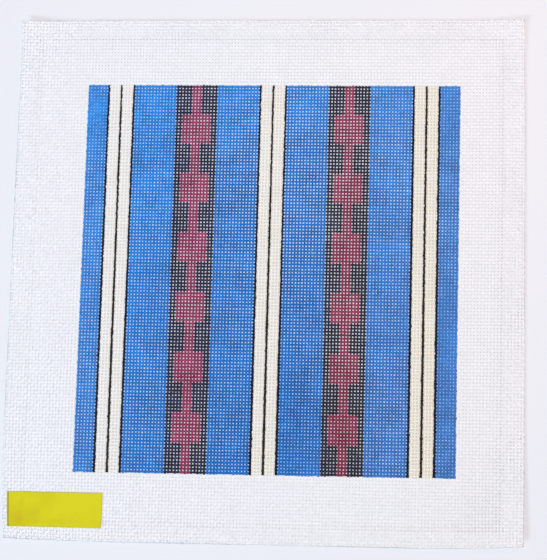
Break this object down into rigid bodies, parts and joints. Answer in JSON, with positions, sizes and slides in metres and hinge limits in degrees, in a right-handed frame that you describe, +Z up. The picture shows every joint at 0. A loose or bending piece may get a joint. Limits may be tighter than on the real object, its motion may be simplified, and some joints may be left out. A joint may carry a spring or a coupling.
{
  "type": "needlepoint canvas panel",
  "caption": "Square painted needlepoint canvas with hemmed edges and a bare label, lying flat and face up.",
  "frame": {"origin": "under the middle of the panel's outline, on the surface that it lies on", "axes": "+Z up out of the painted face, +X to the design's right, +Y to its top edge"},
  "size_m": [0.3086, 0.3136, 0.0052],
  "materials": {
    "cotton_mesh": "matte, stiffened cotton threads, painted in part",
    "paper_label": "smooth coated paper, slightly creased"
  },
  "bodies": {
    "root": {"canvas": "cotton_mesh", "label": "paper_label"}
  },
  "joints": []
}
